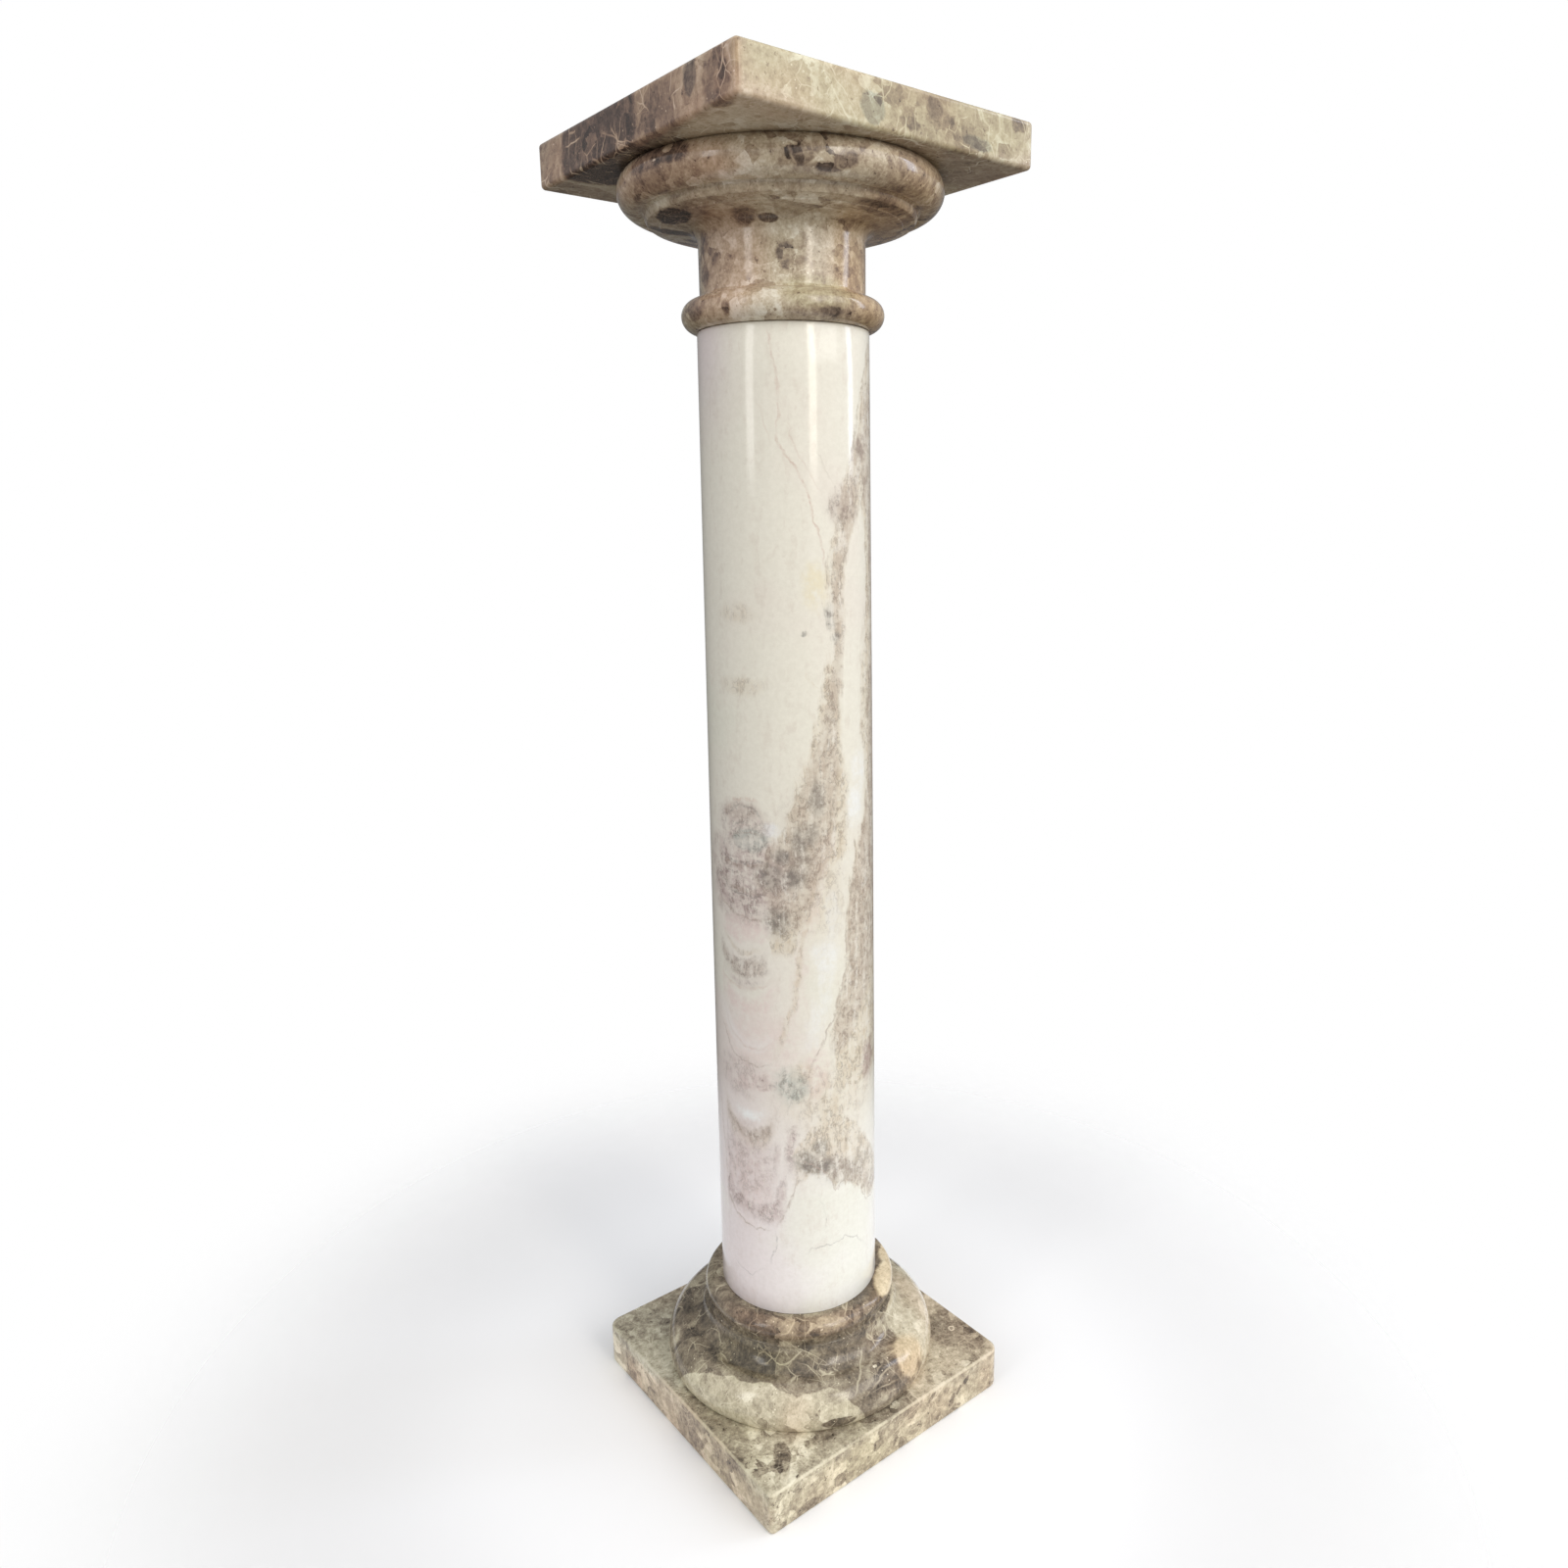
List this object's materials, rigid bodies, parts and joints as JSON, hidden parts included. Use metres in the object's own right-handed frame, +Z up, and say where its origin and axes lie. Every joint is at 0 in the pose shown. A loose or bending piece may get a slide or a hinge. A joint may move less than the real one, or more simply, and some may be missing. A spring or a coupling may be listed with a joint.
{
  "type": "pedestal column",
  "caption": "Marble pedestal column: square plinth, moulded round base, plain tapering shaft, turned capital and a square top slab that carries a bust, urn or plant.",
  "frame": {"origin": "centre of the plinth's underside, where the column stands on the floor", "axes": "+Z up along the axis of the column; the sides of the plinth and of the top slab run along X and Y"},
  "size_m": [0.25, 0.25, 1.0131],
  "materials": {
    "plinth_marble": "polished greenish-greige breccia marble with cream veins and brown flecks",
    "base_marble": "polished olive-brown breccia marble with cream veins and a large tan patch",
    "shaft_marble": "polished cream-white marble with pink-brown and grey-green veins",
    "capital_marble": "polished taupe breccia marble with dark clasts",
    "top_slab_marble": "polished ivory and brown breccia marble"
  },
  "bodies": {
    "root": {"plinth": "plinth_marble", "base": "base_marble", "shaft": "shaft_marble", "capital": "capital_marble", "top_slab": "top_slab_marble"}
  },
  "joints": []
}
